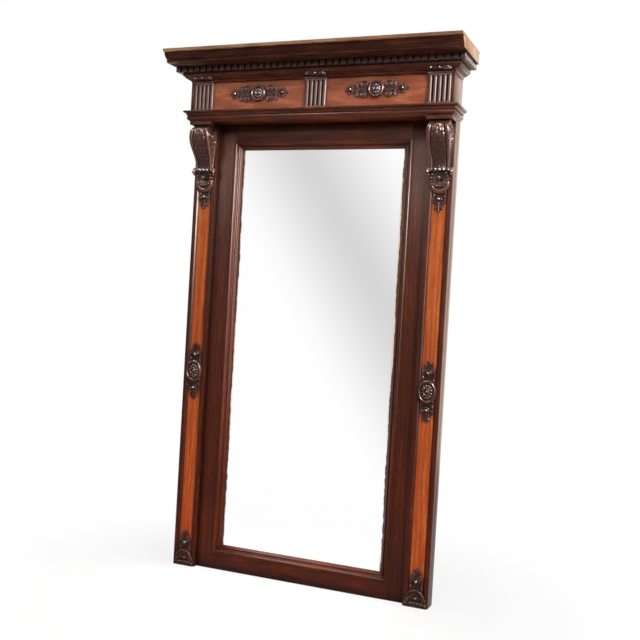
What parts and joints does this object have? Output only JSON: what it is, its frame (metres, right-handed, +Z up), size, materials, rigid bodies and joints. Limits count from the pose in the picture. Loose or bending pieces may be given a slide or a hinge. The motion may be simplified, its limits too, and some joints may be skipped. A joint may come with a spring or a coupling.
{
  "type": "pier mirror",
  "caption": "Tall standing pier mirror in a dark carved wood frame, with panelled pilasters, scroll corbels, a fluted frieze and a dentilled cornice.",
  "frame": {"origin": "on the floor, under the middle of the box round the whole mirror", "axes": "+Z up, -Y out of the mirror's front, +X to the right of someone who faces the mirror"},
  "size_m": [1.244, 0.276, 2.15],
  "materials": {
    "dark_wood": "dark red-brown stained and French polished, soft gloss",
    "figured_panel": "warm orange-brown figured veneer, polished",
    "frieze_veneer": "red-brown veneer, polished",
    "raw_wood": "bare light wood, matte",
    "back_wood": "bare aged softwood, matte",
    "mirror": "silvered plate glass, clear"
  },
  "bodies": {
    "root": {"architrave_front": "dark_wood", "architrave_return_left": "dark_wood", "architrave_return_right": "dark_wood", "backboard_lower": "back_wood", "backboard_upper": "back_wood", "bed_moulding_front": "dark_wood", "bed_moulding_return_left": "dark_wood", "bed_moulding_return_right": "dark_wood", "boss_left": "dark_wood", "boss_plaque_left": "dark_wood", "boss_plaque_right": "dark_wood", "boss_right": "dark_wood", "corbel_left": "dark_wood", "corbel_right": "dark_wood", "cornice_board": "raw_wood", "crown_moulding": "dark_wood", "dentils_front": "dark_wood", "dentils_return_left": "dark_wood", "dentils_return_right": "dark_wood", "drop_left": "dark_wood", "drop_right": "dark_wood", "fluted_block_centre": "dark_wood", "fluted_block_left": "dark_wood", "fluted_block_right": "dark_wood", "foot_ornament_left": "dark_wood", "foot_ornament_right": "dark_wood", "frieze_carrier": "back_wood", "frieze_end_left": "dark_wood", "frieze_end_right": "dark_wood", "frieze_fret_left": "dark_wood", "frieze_fret_right": "dark_wood", "frieze_panel_left": "frieze_veneer", "frieze_panel_right": "frieze_veneer", "glass_batten_bottom": "back_wood", "glass_batten_left": "back_wood", "glass_batten_right": "back_wood", "glass_batten_top": "back_wood", "mirror_glass": "mirror", "pilaster_cap_left": "dark_wood", "pilaster_cap_right": "dark_wood", "pilaster_core_left": "dark_wood", "pilaster_core_right": "dark_wood", "pilaster_panel_left": "figured_panel", "pilaster_panel_right": "figured_panel", "pilaster_strip_inner_left": "dark_wood", "pilaster_strip_inner_right": "dark_wood", "pilaster_strip_outer_left": "dark_wood", "pilaster_strip_outer_right": "dark_wood", "rail_bottom": "dark_wood", "rail_top": "dark_wood", "rosette_left": "dark_wood", "rosette_right": "dark_wood", "sight_moulding_bottom": "dark_wood", "sight_moulding_left": "dark_wood", "sight_moulding_right": "dark_wood", "sight_moulding_top": "dark_wood", "soffit_board": "dark_wood", "stile_left": "dark_wood", "stile_right": "dark_wood", "top_board": "raw_wood"}
  },
  "joints": []
}
